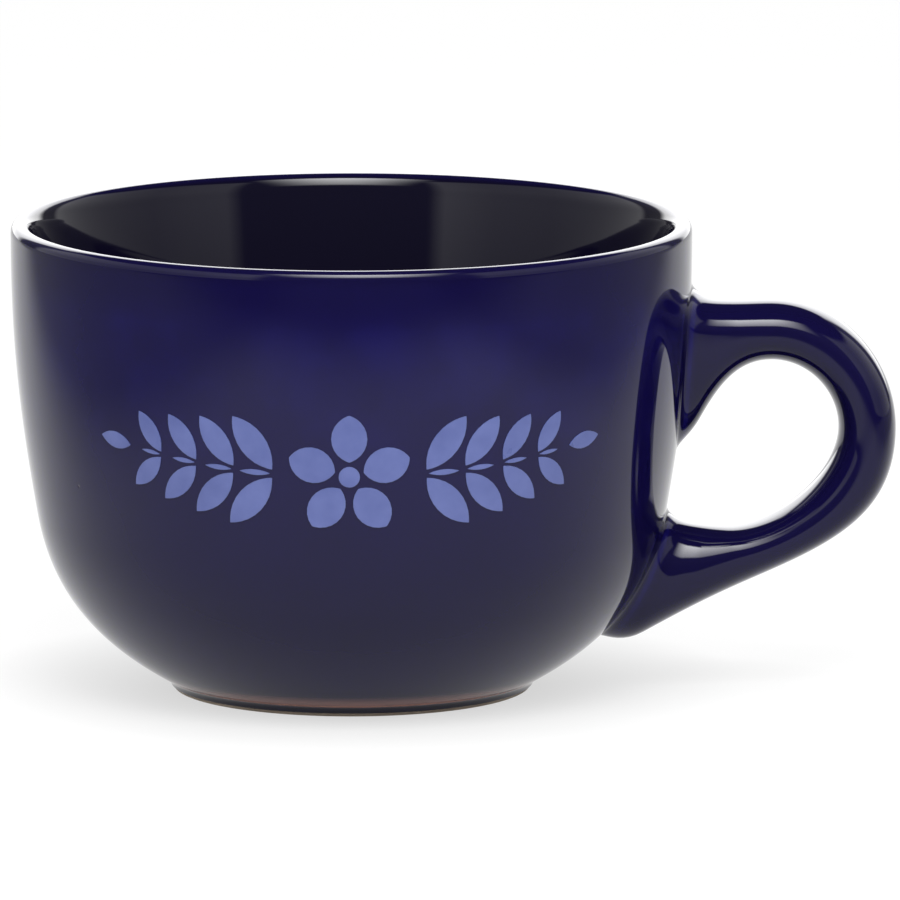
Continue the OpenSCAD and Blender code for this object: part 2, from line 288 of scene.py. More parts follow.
def wall_normal(angle, z):
    """Unit normal of the outside at an angle round the axis and a height."""
    out = np.interp(z, wall_places[:, 1], wall_rights[:, 0])
    up = np.interp(z, wall_places[:, 1], wall_rights[:, 1])
    normal = np.stack([out * np.cos(angle), out * np.sin(angle), up], axis=-1)
    return normal / np.linalg.norm(normal, axis=-1, keepdims=True)


def on_wall(angle, z):
    """Point of the outside at an angle round the axis and a height."""
    radius = wall_radius(z)
    return np.stack([radius * np.cos(angle), radius * np.sin(angle), z], axis=-1)


# Meshes

# Points closer to the axis than this are one point on it
ON_AXIS = GLAZE / 10


def tidy_face(face):
    """A face without corners that have run together."""
    return tuple(corner for place, corner in enumerate(face) if corner != face[place - 1])


def turned(outline):
    """Outline turned round the axis, its right side outwards: points, normals and faces."""
    places, rights = outline
    angles = np.arange(AROUND) * 2 * math.pi / AROUND
    ring = np.stack([np.cos(angles), np.sin(angles)], axis=1)
    points, normals, rows = [], [], []
    for (radius, z), (out, up) in zip(places, rights):
        on_axis = radius < ON_AXIS
        count = 1 if on_axis else AROUND
        rows.append([len(points) + (0 if on_axis else j) for j in range(AROUND)])
        points.extend([*(radius * way), z] for way in ring[:count])
        normals.extend([0, 0, up] if on_axis else [*(out * way), up] for way in ring[:count])
    faces = []
    for low, high in zip(rows, rows[1:]):
        for j in range(AROUND):
            k = (j + 1) % AROUND
            faces.append(tidy_face((low[j], low[k], high[k], high[j])))
    return np.array(points), np.array(normals), faces


def lofted(rings):
    """Faces between rings of equal count, one after the other."""
    count = len(rings[0])
    faces = []
    for near, far in zip(rings, rings[1:]):
        for k in range(count):
            n = (k + 1) % count
            faces.append(tidy_face((near[k], far[k], far[n], near[n])))
    return faces


def coat(points, normals, faces, depth):
    """Closed shell: the faces, a second skin below them, and a rim along every open edge."""
    count = len(points)
    edges = {(a, b) for face in faces for a, b in zip(face, face[1:] + face[:1])}
    rims = [(b, a, count + a, count + b) for a, b in sorted(edges) if (b, a) not in edges]
    backs = [tuple(count + corner for corner in reversed(face)) for face in faces]
    both = np.concatenate([points, points - depth * normals])
    ways = np.concatenate([normals, -normals])
    return both, ways, faces + backs, rims


def make_piece(name, slot, points, smooth, flat=(), normals=None):
    """Mesh piece that stands for the node of its name; normals hold for its smooth faces."""
    mesh = bpy.data.meshes.new(name)
    mesh.from_pydata(points.tolist(), [], list(smooth) + list(flat))
    mesh.polygons.foreach_set("use_smooth", [True] * len(smooth) + [False] * len(flat))
    if normals is not None:
        loop_normals = [normals[corner] for face in smooth for corner in face]
        for polygon in list(mesh.polygons)[len(smooth):]:
            loop_normals.extend([polygon.normal] * polygon.loop_total)
        mesh.normals_split_custom_set([tuple(way) for way in loop_normals])
    piece = bpy.data.objects.new(name + "_finish", mesh)
    bpy.context.scene.collection.objects.link(piece)
    mesh.materials.append(finishes[slot])
    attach(piece, "root")
    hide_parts(name)
    return piece


def make_glaze(name, surface):
    """Coat of glaze over a surface of points, normals and faces; also gives the heights of its points."""
    shell, ways, smooth, rims = coat(*surface, GLAZE)
    return make_piece(name, "glaze", shell, smooth, rims, ways), shell[:, 2]


def make_clay(name, slot, points, faces, sharp):
    """Solid piece of clay or slip, smooth apart from corners sharper than this many degrees."""
    mesh = make_piece(name, slot, points, faces).data
    mesh.set_sharp_from_angle(angle=math.radians(sharp))


def set_value(piece, name, values):
    """Named value at each point, which the piece's finish reads."""
    attribute = piece.data.attributes.new(name, "FLOAT", "POINT")
    attribute.data.foreach_set("value", np.asarray(values, dtype=np.float32))


# Nodes of the finishes

def grey(level):
    """Colour of this level without a hue."""
    return level, level, level, 1


def add(tree, kind, inputs=None, **settings):
    """Node with its settings, and with its inputs set or linked."""
    made = tree.nodes.new(kind)
    for name, value in settings.items():
        setattr(made, name, value)
    for key, value in (inputs or {}).items():
        if isinstance(value, bpy.types.NodeSocket):
            tree.links.new(value, made.inputs[key])
        else:
            made.inputs[key].default_value = value
    return made


def maths(tree, operation, *values):
    """Result of a sum on numbers or sockets."""
    return add(tree, "ShaderNodeMath", dict(enumerate(values)), operation=operation).outputs[0]


def spread(tree, value, low, high, to_low=0.0, to_high=1.0, smooth=False):
    """Value carried from one range to another and held within it."""
    kind = "SMOOTHSTEP" if smooth else "LINEAR"
    inputs = {"Value": value, "From Min": low, "From Max": high, "To Min": to_low, "To Max": to_high}
    return add(tree, "ShaderNodeMapRange", inputs, interpolation_type=kind).outputs["Result"]


def mix_colour(tree, share, first, second):
    """Colour between two others; the mixer's colour sockets are its inputs 6 and 7 and its output 2."""
    return add(tree, "ShaderNodeMix", {0: share, 6: first, 7: second}, data_type="RGBA").outputs[2]


def toned(tree, share, tones):
    """Colour for a share from 0 to 1, by a row of places and colours."""
    ramp = add(tree, "ShaderNodeValToRGB", {"Fac": share})
    stops = ramp.color_ramp.elements
    while len(stops) < len(tones):
        stops.new(0.5)
    for stop, (place, colour) in zip(stops, tones):
        stop.position = place
        stop.color = colour
    return ramp.outputs["Color"]


def point_value(tree, name):
    """Named value that set_value has put on the piece; 0 on a piece without it."""
    return add(tree, "ShaderNodeAttribute", attribute_name=name).outputs["Fac"]


# Effects that several finishes share

def new_group(name, inputs, outputs):
    """Empty node group with number sockets, and its input and output nodes' sockets."""
    group = bpy.data.node_groups.new(name, "ShaderNodeTree")
    for label, value in inputs.items():
        socket = group.interface.new_socket(name=label, in_out="INPUT", socket_type="NodeSocketFloat")
        socket.default_value = value
    for label in outputs:
        group.interface.new_socket(name=label, in_out="OUTPUT", socket_type="NodeSocketFloat")
    given = group.nodes.new("NodeGroupInput").outputs
    result = group.nodes.new("NodeGroupOutput").inputs
    return group, given, result


def cloudy_group():
    """Soft clouds, for colour and gloss that drift over a surface."""
    thin, thick = 0.3, 0.7
    group, given, result = new_group("clouds", {"Size": 0.01, "Detail": 3.0}, ["Share"])
    place = add(group, "ShaderNodeTexCoord").outputs["Object"]
    scale = maths(group, "DIVIDE", 1.0, given["Size"])
    noise = add(group, "ShaderNodeTexNoise", {"Vector": place, "Scale": scale, "Detail": given["Detail"]})
    group.links.new(spread(group, noise.outputs["Fac"], thin, thick), result["Share"])
    return group


def ripple_group():
    """Gentle swell of a fired surface and its finer peel, as a height in metres."""
    sizes = {"Swell size": 0.014, "Swell height": 0.00002, "Peel size": 0.002, "Peel height": 0.000001}
    group, given, result = new_group("ripple", sizes, ["Height"])
    place = add(group, "ShaderNodeTexCoord").outputs["Object"]
    heights = []
    for label in ("Swell", "Peel"):
        scale = maths(group, "DIVIDE", 1.0, given[label + " size"])
        noise = add(group, "ShaderNodeTexNoise", {"Vector": place, "Scale": scale, "Detail": 1.0})
        heights.append(maths(group, "MULTIPLY", noise.outputs["Fac"], given[label + " height"]))
    group.links.new(maths(group, "ADD", *heights), result["Height"])
    return group


def speck_group():
    """Scattered round specks: a mask that is 1 in the middle of each."""
    sizes = {"Pitch": 0.004, "Width": 0.0005, "Share": 0.3}
    group, given, result = new_group("specks", sizes, ["Mask"])
    place = add(group, "ShaderNodeTexCoord").outputs["Object"]
    scale = maths(group, "DIVIDE", 1.0, given["Pitch"])
    cells = add(group, "ShaderNodeTexVoronoi", {"Vector": place, "Scale": scale})
    pick = add(group, "ShaderNodeSeparateColor", {"Color": cells.outputs["Color"]}).outputs["Red"]
    present = maths(group, "LESS_THAN", pick, given["Share"])
    distance = maths(group, "MULTIPLY", cells.outputs["Distance"], given["Pitch"])
    edge = maths(group, "MULTIPLY", given["Width"], 0.5)
    cone = maths(group, "SUBTRACT", 1.0, maths(group, "DIVIDE", distance, edge))
    mask = maths(group, "MULTIPLY", maths(group, "MAXIMUM", cone, 0.0), present)
    group.links.new(mask, result["Mask"])
    return group


def placed(tree, group, **inputs):
    """Outputs of a node group put into a finish."""
    node = tree.nodes.new("ShaderNodeGroup")
    node.node_tree = group
    for label, value in inputs.items():
        node.inputs[label.replace("_", " ")].default_value = value
    return node.outputs


# Finishes

CERAMIC_IOR = 1.5
# Colours of the glaze from where it lies thick to where it has run thin, how far its thinness drifts,
# and the clay that shows at its edges
GLAZE_TONES = [
    (0.0, (0.0028, 0.0022, 0.006, 1)),
    (0.3, (0.004, 0.0027, 0.036, 1)),
    (0.7, (0.014, 0.012, 0.22, 1)),
    (1.0, (0.035, 0.035, 0.4, 1)),
]
THIN_DRIFT = 0.93, 1.07
SHOWN_CLAY = (0.55, 0.26, 0.2, 1)
# Pinholes in the glaze, and how strongly it mirrors where it isn't dulled
PINHOLE = (0.03, 0.022, 0.02, 1)
PINHOLE_DEPTH = 0.00006
MIRROR = 0.27
# Bare clay and slip: pale and dark body, and iron specks
CLAY_TONES = (0.50, 0.42, 0.33, 1), (0.42, 0.34, 0.26, 1), (0.16, 0.11, 0.07, 1)
SLIP_TONES = (0.46, 0.38, 0.30, 1), (0.39, 0.31, 0.24, 1), (0.18, 0.13, 0.09, 1)
# Print where it covers well and where it is a little thin
PERIWINKLE = (0.065, 0.086, 0.25, 1)
PALE_PERIWINKLE = (0.086, 0.111, 0.295, 1)


def new_finish(name, roughness):
    """Material with one shader, and that shader's inputs."""
    finish = bpy.data.materials.new(name)
    finish.use_nodes = True
    shader = finish.node_tree.nodes["Principled BSDF"]
    shader.inputs["Roughness"].default_value = roughness
    shader.inputs["IOR"].default_value = CERAMIC_IOR
    return finish, finish.node_tree, shader.inputs


def set_roughness(tree, shader, size, least, most):
    """Roughness that drifts between two values over clouds of a size."""
    drift = placed(tree, clouds, Size=size)["Share"]
    tree.links.new(spread(tree, drift, 0.0, 1.0, least, most), shader["Roughness"])


def set_bump(tree, shader, height):
    """Normal of a surface with this height, in metres."""
    bump = add(tree, "ShaderNodeBump", {"Height": height, "Strength": 1.0, "Distance": 1.0})
    tree.links.new(bump.outputs["Normal"], shader["Normal"])


def cobalt_glaze():
    """Deep gloss glaze, bluer where thin, dulled above the foot as painted shade, with a few pinholes."""
    finish, tree, shader = new_finish("cobalt_glaze", 0.04)
    drift = placed(tree, clouds, Size=0.011, Detail=4.0)["Share"]
    uneven = spread(tree, drift, 0.0, 1.0, *THIN_DRIFT)
    patchy = maths(tree, "MULTIPLY", point_value(tree, "thinness"), uneven)
    bareness = point_value(tree, "bareness")
    colour = mix_colour(tree, bareness, toned(tree, patchy, GLAZE_TONES), SHOWN_CLAY)
    pinholes = placed(tree, specks, Pitch=0.011, Width=0.0007, Share=0.22)["Mask"]
    tree.links.new(mix_colour(tree, pinholes, colour, PINHOLE), shader["Base Color"])
    # Mirror dulled where clay shows, and above the foot as painted shade of the floor's shadow under the
    # belly
    bare_and_shade_dull = maths(tree, "MAXIMUM", bareness, point_value(tree, "painted_shade"))
    shader["Specular IOR Level"].default_value = MIRROR
    tree.links.new(spread(tree, bare_and_shade_dull, 0.0, 1.0, MIRROR, 0.0), shader["Specular IOR Level"])
    set_roughness(tree, shader, 0.02, 0.025, 0.055)
    flow = placed(
        tree, ripple, Swell_size=0.016, Swell_height=0.00003, Peel_size=0.0022, Peel_height=0.0000006)
    pits = maths(tree, "MULTIPLY", pinholes, -PINHOLE_DEPTH)
    set_bump(tree, shader, maths(tree, "ADD", flow["Height"], pits))
    return finish


def fired_clay(name, pale, dark, speck):
    """Bare fired clay: matt, mottled, with fine iron specks."""
    finish, tree, shader = new_finish(name, 0.75)
    body = mix_colour(tree, placed(tree, clouds, Size=0.006, Detail=5.0)["Share"], pale, dark)
    iron = placed(tree, specks, Pitch=0.0016, Width=0.0005, Share=0.25)["Mask"]
    tree.links.new(mix_colour(tree, iron, body, speck), shader["Base Color"])
    set_roughness(tree, shader, 0.003, 0.62, 0.85)
    grain = placed(
        tree, ripple, Swell_size=0.0012, Swell_height=0.00004, Peel_size=0.0003, Peel_height=0.00001)
    set_bump(tree, shader, grain["Height"])
    return finish


def fired_print():
    """Periwinkle screen print fired on the glaze: satin, a little uneven in cover."""
    finish, tree, shader = new_finish("fired_print", 0.3)
    cover = placed(tree, clouds, Size=0.004, Detail=4.0)["Share"]
    tree.links.new(mix_colour(tree, cover, PERIWINKLE, PALE_PERIWINKLE), shader["Base Color"])
    set_roughness(tree, shader, 0.008, 0.26, 0.38)
    grain = placed(
        tree, ripple, Swell_size=0.003, Swell_height=0.00001, Peel_size=0.0006, Peel_height=0.000003)
    set_bump(tree, shader, grain["Height"])
    return finish


clouds = cloudy_group()
ripple = ripple_group()
specks = speck_group()
finishes = {
    "glaze": cobalt_glaze(),
    "clay": fired_clay("bare_clay", *CLAY_TONES),
    "slip": fired_clay("fired_slip", *SLIP_TONES),
    "print": fired_print(),
}

# How the glaze lies: its thinness, from 0, thick, to 1, thin, on the foot, the handle and the underside,
# how much it gains on the wall, and how much it loses under the lip and on its round,
# each between two heights
THIN = 0.2
WALL_GAIN = 0.11
WALL_RISE = 0.015, 0.055
LIP_LOSS = 0.07
LIP_RISE = 0.066, 0.072
ROUND_LOSS = 0.05
ROUND_RISE = 0.0735, 0.0747
# The same in the hollow of the handle's fillets, by rings from the wall, and at the underside's edge
HOLLOW_GAIN = 0.16
HOLLOW_MIDDLE = 0.45 * FILLET_RINGS
HOLLOW_REACH = 0.25 * FILLET_RINGS
EDGE_GAIN = 0.4
EDGE_H = 0.0009
# The same on the inside, and near the crest of its lip
INNER_THIN = 0.04
CREST_GAIN = 0.16
CREST_H = 0.0009
# The bare line along the foot's corner: its half width, how far up the belly its warm tint reaches,
# and how much clay shows in both
FOOT_LINE = 0.0006
FOOT_TINT = 0.0045
LINE_BARE = 0.92
TINT_BARE = 0.45
# Painted shade: how far above the foot's corner the glaze's mirror is dulled, and how dull it is there
PAINTED_SHADE_REACH = 0.022
PAINTED_SHADE_DULL = 0.8


# Handle: one surface of rings from the wall round the loop and back to the wall

def bulge(value):
    """Share of the half width that gives the section its rounded box shape."""
    return np.sign(value) * np.abs(value) ** (2 / SECTION_POWER)


# Rounded section, from the outer rail round to the +Y side
section_turn = np.arange(SIDES) * 2 * math.pi / SIDES
across = bulge(np.cos(section_turn))
aside = bulge(np.sin(section_turn))


def rail_start(z, step):
    """Place beside the wall where a rail leaves the slip."""
    return np.array([wall_radius(z), z]) + np.array(step)


# Where each rail leaves the slip: level with the top of the loop, along the slope under the upper end,
# part of the way down the dip, and along the pointed tip of the lower end
TOP_STEP = [BEAD_RUN, 0]
PIT_STEP = 1.1 * BEAD_RUN * heading(43)
DIP_STEP = [BEAD_RUN, -0.75 * HOLE_DIP]
TIP_STEP = [0.0065, -0.00025]
# Headings of each rail beside the upper end and beside the lower end
OUTER_HEADINGS = -4, 209
INNER_HEADINGS = 61, 171
# Sections along each stretch of the loop; the crown is at the end of the first
RAIL_STEPS = [18, 34, 34, 18]
strut_side = np.array([STRUT_X, HOLE_BOTTOM]) + HANDLE_T * heading(STRUT_FALL - 90)
outer_rail = chain([
    station(rail_start(HANDLE_TOP, TOP_STEP), OUTER_HEADINGS[0]),
    station([CROWN_X, HANDLE_TOP], 0),
    station([GRIP_X, GRIP_Z], -90, GRIP_PULL),
    station(strut_side, 180 + STRUT_FALL),
    station(rail_start(LOWER_ROOT_Z, TIP_STEP), OUTER_HEADINGS[1]),
], RAIL_STEPS)[0]
inner_rail = chain([
    station(rail_start(UPPER_ROOT_Z, PIT_STEP), INNER_HEADINGS[0]),
    station([CROWN_X, HOLE_TOP], 0),
    station([GRIP_X - HANDLE_T, GRIP_Z], -90, HOLE_PULL),
    station([STRUT_X, HOLE_BOTTOM], 180),
    station(rail_start(LOWER_ROOT_TOP, DIP_STEP), INNER_HEADINGS[1]),
], RAIL_STEPS)[0]


def loop_sections():
    """Sections of the loop between its rails, wider towards both ends and egg-shaped up to the crown."""
    span = inner_rail - outer_rail
    share = np.full((len(span), 1), 0.5)
    first = slice(0, RAIL_STEPS[0])
    share[first] = CROWN_T / 2 / np.linalg.norm(span[first], axis=1, keepdims=True)
    widest = outer_rail + share * span
    run = BEAD_RUN + lengths((outer_rail + inner_rail) / 2)
    from_end = np.minimum(run, run[-1] + BEAD_RUN - run)
    half_width = ROOT_W / 2 + (HANDLE_W - ROOT_W) / 2 * ease(from_end / ROOT_EASE)
    sections = []
    for middle, outer, inner, half in zip(widest, outer_rail, inner_rail, half_width):
        arms = np.where(across[:, None] > 0, outer - middle, inner - middle)
        places = middle + np.abs(across)[:, None] * arms
        sections.append(np.stack([places[:, 0], half * aside, places[:, 1]], axis=1))
    return np.array(sections)


# Heights on the wall of each end of the handle: on its outer rail and on its inner rail
UPPER_END = HANDLE_TOP + ROOT_FLARE, UPPER_ROOT_Z
LOWER_END = LOWER_ROOT_Z, LOWER_ROOT_TOP


def end_ring(end, grow, depth, share=1.0):
    """Section of the handle on the wall, grown or shrunk to a share, this deep below the glaze's face."""
    outer, inner = end
    middle = outer - CROWN_T / 2 if end is UPPER_END else (outer + inner) / 2
    side = 1 if end is UPPER_END else -1
    tip_grow = grow - BEAD_RISE + TIP_RISE if end is LOWER_END and grow > 0 else grow
    reach = np.where(across > 0, outer + side * tip_grow, inner - side * grow) - middle
    z = middle + np.abs(across) * reach * share
    y = (ROOT_W / 2 + grow) * share * aside
    return np.stack([np.sqrt(wall_radius(z, depth) ** 2 - y ** 2), y, z], axis=-1)


def fillet(end, beside, beyond):
    """Hollow curve that runs on from the loop's section beside the wall and out along the wall."""
    corner = end_ring(end, 0, 0)
    last = end_ring(end, GLAZE_SPREAD, 0)
    way = beside - beyond
    way = way / np.linalg.norm(way, axis=1, keepdims=True)
    reach = np.linalg.norm(corner - beside, axis=1, keepdims=True) * FILLET_PULL
    corners = beside, beside + reach * way, last + (corner - last) * FILLET_PULL, last
    rings = []
    for t in rows_between(0, 1, FILLET_RINGS):
        rings.append(sum(share * ring for share, ring in zip(curve_shares(t), corners)))
    return rings


def handle_surface():
    """Points and normals of the glazed handle, ring by ring."""
    loop = loop_sections()
    upper = fillet(UPPER_END, loop[0], loop[1])
    lower = fillet(LOWER_END, loop[-1], loop[-2])
    points = np.array(upper[::-1] + list(loop) + lower)
    along = np.gradient(points, axis=0)
    around = np.roll(points, -1, axis=1) - np.roll(points, 1, axis=1)
    normals = np.cross(along, around)
    normals = normals / np.linalg.norm(normals, axis=2, keepdims=True)
    for ring in (0, -1):
        angle = np.arctan2(points[ring, :, 1], points[ring, :, 0])
        normals[ring] = wall_normal(angle, points[ring, :, 2])
    return points, normals


handle_points, handle_normals = handle_surface()
handle_under = handle_points - GLAZE * handle_normals
RINGS = len(handle_points)
# Corners of the handle and its joints that are sharper than this many degrees stay sharp
HANDLE_SHARP = 40


def ring_numbers(count):
    """Point numbers of rings that follow each other."""
    return [[ring * SIDES + k for k in range(SIDES)] for ring in range(count)]


def closed_loft(rings, first, last):
    """Points and faces of a solid through rings, with a point at each end."""
    points = np.concatenate([np.concatenate(rings), [first, last]])
    tip = len(points) - 2
    faces = lofted([[tip] * SIDES] + ring_numbers(len(rings)) + [[tip + 1] * SIDES])
    return points, faces


def end_disc(end, grow, depth):
    """Rings across an end of the handle, from small to full, and the point in their middle."""
    rings = [end_ring(end, grow, depth, n / END_RINGS) for n in range(1, END_RINGS + 1)]
    return rings, rings[0].mean(axis=0)


def make_handle_glaze():
    """Coat of the handle and its fillets, bluer in the hollow of each fillet."""
    faces = lofted(ring_numbers(RINGS))
    surface = handle_points.reshape(-1, 3), handle_normals.reshape(-1, 3), faces
    piece, _ = make_glaze("handle_glaze", surface)
    ring = np.arange(RINGS)
    from_wall = np.minimum(ring, RINGS - 1 - ring)
    hollow = ease(1 - np.abs(from_wall - HOLLOW_MIDDLE) / HOLLOW_REACH)
    thinness = np.repeat(THIN + HOLLOW_GAIN * hollow, SIDES)
    set_value(piece, "thinness", np.tile(thinness, 2))


def make_handle():
    """Clay loop under its glaze, each end close to the wall in its slip."""
    upper, upper_middle = end_disc(UPPER_END, -NECK_INSET, GLAZE - FILM)
    lower, lower_middle = end_disc(LOWER_END, -NECK_INSET, GLAZE - FILM)
    loop = list(handle_under[FILLET_RINGS:RINGS - FILLET_RINGS])
    points, faces = closed_loft(upper + loop + lower[::-1], upper_middle, lower_middle)
    make_clay("handle", "clay", points, faces, HANDLE_SHARP)


def make_joint(name, end, fillet_rings):
    """Slip from the wall up the fillet and back down to the handle's own end."""
    foot, foot_middle = end_disc(end, GLAZE_SPREAD, GLAZE)
    top, top_middle = end_disc(end, -NECK_INSET, GLAZE - FILM)
    rings = foot[:-1] + fillet_rings + top[::-1]
    middles = [foot_middle, top_middle]
    if end is LOWER_END:
        rings.reverse()
        middles.reverse()
    points, faces = closed_loft(rings, *middles)
    make_clay(name, "slip", points, faces, HANDLE_SHARP)


# Bowl and its coats

# Corners of the bowl that are sharper than this many degrees stay sharp
BOWL_SHARP = 35


def block_heights(end):
    """Lowest and highest row of the block of the grid that an end of the handle lies in."""
    margin = GLAZE_SPREAD + BLOCK_MARGIN
    return min(end) - margin, max(end) + margin


def outer_rows():
    """Lengths along the outside of the grid's rows, and the numbers of the first row of both blocks."""
    run = lengths(outside[0])
    rising = outside[0][:, 1]
    heights = block_heights(LOWER_END) + block_heights(UPPER_END)
    low, low_top, high, high_top = np.interp(heights, rising, run)
    rounding = np.interp(HEIGHT - LIP_ROUND, rising, run)
    corner = run[FINE]
    foot = np.concatenate([
        np.linspace(0, corner - FOOT_LINE, FOOT_ROWS + 1),
        rows_between(corner - FOOT_LINE, corner + FOOT_LINE, LINE_ROWS),
        rows_between(corner + FOOT_LINE, corner + FOOT_TINT, TINT_ROWS),
        rows_between(corner + FOOT_TINT, low, BELLY_ROWS),
    ])
    marks = np.concatenate([
        foot,
        rows_between(low, low_top, BLOCK_ROWS),
        rows_between(low_top, high, GAP_ROWS),
        rows_between(high, high_top, BLOCK_ROWS),
        rows_between(high_top, rounding, WALL_ROWS),
        rows_between(rounding, run[-1], LIP_ROWS),
    ])
    first = len(foot) - 1
    return marks, (first, first + BLOCK_ROWS + GAP_ROWS)


def block_edge(first_row, from_top):
    """Row and column of each point round a block, from the middle of its top or bottom towards +Y."""
    top, bottom = first_row + BLOCK_ROWS, first_row
    if not from_top:
        top, bottom = bottom, top
    step = -1 if from_top else 1
    wide = BLOCK_COLUMNS
    edge = [(top, j) for j in range(wide)]
    edge += [(row, wide) for row in range(top, bottom, step)]
    edge += [(bottom, j) for j in range(wide, -wide, -1)]
    edge += [(row, -wide) for row in range(bottom, top, -step)]
    return edge + [(top, j) for j in range(-wide, 0)]


def block_patch(first_row, end, window, points, normals):
    """Faces from a block's edge in to an outline on the wall; new points and normals join the lists."""
    from_top = end is UPPER_END
    rings = [[row * AROUND + j % AROUND for row, j in block_edge(first_row, from_top)]]
    edge = np.array([points[number] for number in rings[0]])
    edge_angle, window_angle = (np.arctan2(ring[:, 1], ring[:, 0]) for ring in (edge, window))
    for share in rows_between(0, 1, BLOCK_RINGS):
        angle = edge_angle + share * (window_angle - edge_angle)
        z = edge[:, 2] + share * (window[:, 2] - edge[:, 2])
        rings.append(list(range(len(points), len(points) + SIDES)))
        points.extend(on_wall(angle, z))
        normals.extend(wall_normal(angle, z))
    patch = lofted(rings)
    return patch if from_top else [tuple(reversed(face)) for face in patch]


def opened_outside():
    """Points, normals and faces of the outside, opened to the outline of the handle glaze at both ends."""
    marks, block_rows = outer_rows()
    points, normals, faces = turned(spaced(outside, marks))
    points, normals = list(points), list(normals)
    hidden = set()
    for first in block_rows:
        for row in range(first, first + BLOCK_ROWS):
            hidden.update(row * AROUND + j % AROUND for j in range(-BLOCK_COLUMNS, BLOCK_COLUMNS))
    faces = [face for number, face in enumerate(faces) if number not in hidden]
    windows = handle_points[-1], handle_points[0]
    for first, end, window in zip(block_rows, (LOWER_END, UPPER_END), windows):
        faces += block_patch(first, end, window, points, normals)
    used = sorted({corner for face in faces for corner in face})
    number_of = {old: new for new, old in enumerate(used)}
    faces = [tuple(number_of[corner] for corner in face) for face in faces]
    return np.array(points)[used], np.array(normals)[used], faces


def make_outer_glaze():
    """Coat of the outside: thicker under the lip, dull as painted shade above the foot, bare on its
    corner.
    """
    piece, z = make_glaze("outer_glaze", opened_outside())
    wall = WALL_GAIN * risen(z, WALL_RISE)
    lip = LIP_LOSS * risen(z, LIP_RISE) + ROUND_LOSS * risen(z, ROUND_RISE)
    set_value(piece, "thinness", THIN + wall - lip)
    run = lengths(outside[0])
    past = np.interp(z, outside[0][:, 1], run) - run[FINE]
    line = LINE_BARE * ease(1 - np.abs(past) / FOOT_LINE)
    tint = TINT_BARE * ease(1 - past / FOOT_TINT) * (past > 0)
    set_value(piece, "bareness", np.maximum(line, tint))
    # Painted shade: the mirror dulls above the foot, standing in for the floor's shadow under the belly
    set_value(piece, "painted_shade", PAINTED_SHADE_DULL * ease(1 - past / PAINTED_SHADE_REACH) * (past > 0))


def make_inner_glaze():
    """Coat of the inside, from the crest of the lip to the middle of the floor."""
    run = lengths(inside[0])
    rounding = np.interp(HEIGHT - INNER_ROUND, inside[0][::-1, 1], run[::-1])
    lip_marks = np.linspace(0, rounding, INNER_LIP_ROWS + 1)
    marks = np.concatenate([lip_marks, rows_between(rounding, run[-1], INNER_ROWS)])
    piece, z = make_glaze("inner_glaze", turned(spaced(inside, marks)))
    set_value(piece, "thinness", INNER_THIN + CREST_GAIN * risen(z, (HEIGHT - CREST_H, HEIGHT)))


def make_underside_glaze():
    """Coat of the hollow under the floor, thinner at its edge."""
    piece, z = make_glaze("underside_glaze", turned(evenly(underside, UNDER_ROWS)))
    set_value(piece, "thinness", THIN + EDGE_GAIN * ease(1 - (z - BARE_H) / EDGE_H))


def foot_corner(middle, start, finish):
    """Round edge of the foot ring, as places and right-hand directions."""
    ways = np.array([heading(degrees) for degrees in np.linspace(start, finish, EDGE_POINTS)])
    return np.array(middle) + FOOT_EDGE * ways, ways


def make_bowl():
    """Clay cup, from the middle of its underside round the foot and the lip to the middle of its floor."""
    marks, _ = outer_rows()
    inside_run = lengths(inside[0])[-1]
    parts = [
        (evenly(underside, UNDER_ROWS), GLAZE),
        (foot_corner([RECESS_R + FOOT_EDGE, FOOT_EDGE], 180, 270), 0),
        (foot_corner([FOOT_R - FOOT_EDGE, FOOT_EDGE], 270, 360), 0),
        (spaced(outside, marks), GLAZE),
        (spaced(inside, rows_between(0, inside_run, CLAY_ROWS)), GLAZE),
    ]
    places = np.concatenate([outline[0] - depth * outline[1] for outline, depth in parts])
    rights = np.concatenate([outline[1] for outline, _ in parts])
    points, _, faces = turned((places, rights))
    make_clay("bowl", "clay", points, faces, BOWL_SHARP)


# Print

def leaf(length, width):
    """Pointed leaf along +X from the origin: its points in rows across, and its faces."""
    bow = (length ** 2 / 4 + width ** 2 / 4) / width
    along = length / 2 * (1 - np.cos(np.linspace(0, math.pi, LEAF_ROWS + 1)))
    half = np.sqrt(np.maximum(bow ** 2 - (along - length / 2) ** 2, 0)) - (bow - width / 2)
    lanes = np.linspace(-1, 1, LEAF_LANES)
    points = [[0.0, 0.0]]
    rows = [[0] * LEAF_LANES]
    for x, reach in zip(along[1:-1], half[1:-1]):
        rows.append(list(range(len(points), len(points) + LEAF_LANES)))
        points.extend([x, lane * reach] for lane in lanes)
    rows.append([len(points)] * LEAF_LANES)
    points.append([length, 0.0])
    faces = []
    for near, far in zip(rows, rows[1:]):
        for k in range(LEAF_LANES - 1):
            faces.append(tidy_face((near[k], far[k], far[k + 1], near[k + 1])))
    return np.array(points), faces


def dot(radius):
    """Round dot: its points and faces."""
    ring = np.array([heading(degrees) for degrees in range(0, 360, DOT_STEP)]) * radius
    count = len(ring)
    faces = [(count + k, count + (k + 1) % count, 2 * count) for k in range(count)]
    faces += [(k, (k + 1) % count, count + (k + 1) % count, count + k) for k in range(count)]
    return np.concatenate([ring, ring / 2, [[0.0, 0.0]]]), faces


def moved(shape, push=(0, 0), degrees=0, scale=1.0, mirrored=False):
    """Flat shape pushed, turned about the origin, scaled and, if asked, mirrored left to right."""
    points, faces = shape
    out, up = heading(degrees), heading(degrees + 90)
    points = points + np.array(push)
    points = (points[:, :1] * out + points[:, 1:] * up) * scale
    if mirrored:
        return points * np.array([-1, 1]), [tuple(reversed(face)) for face in faces]
    return points, faces


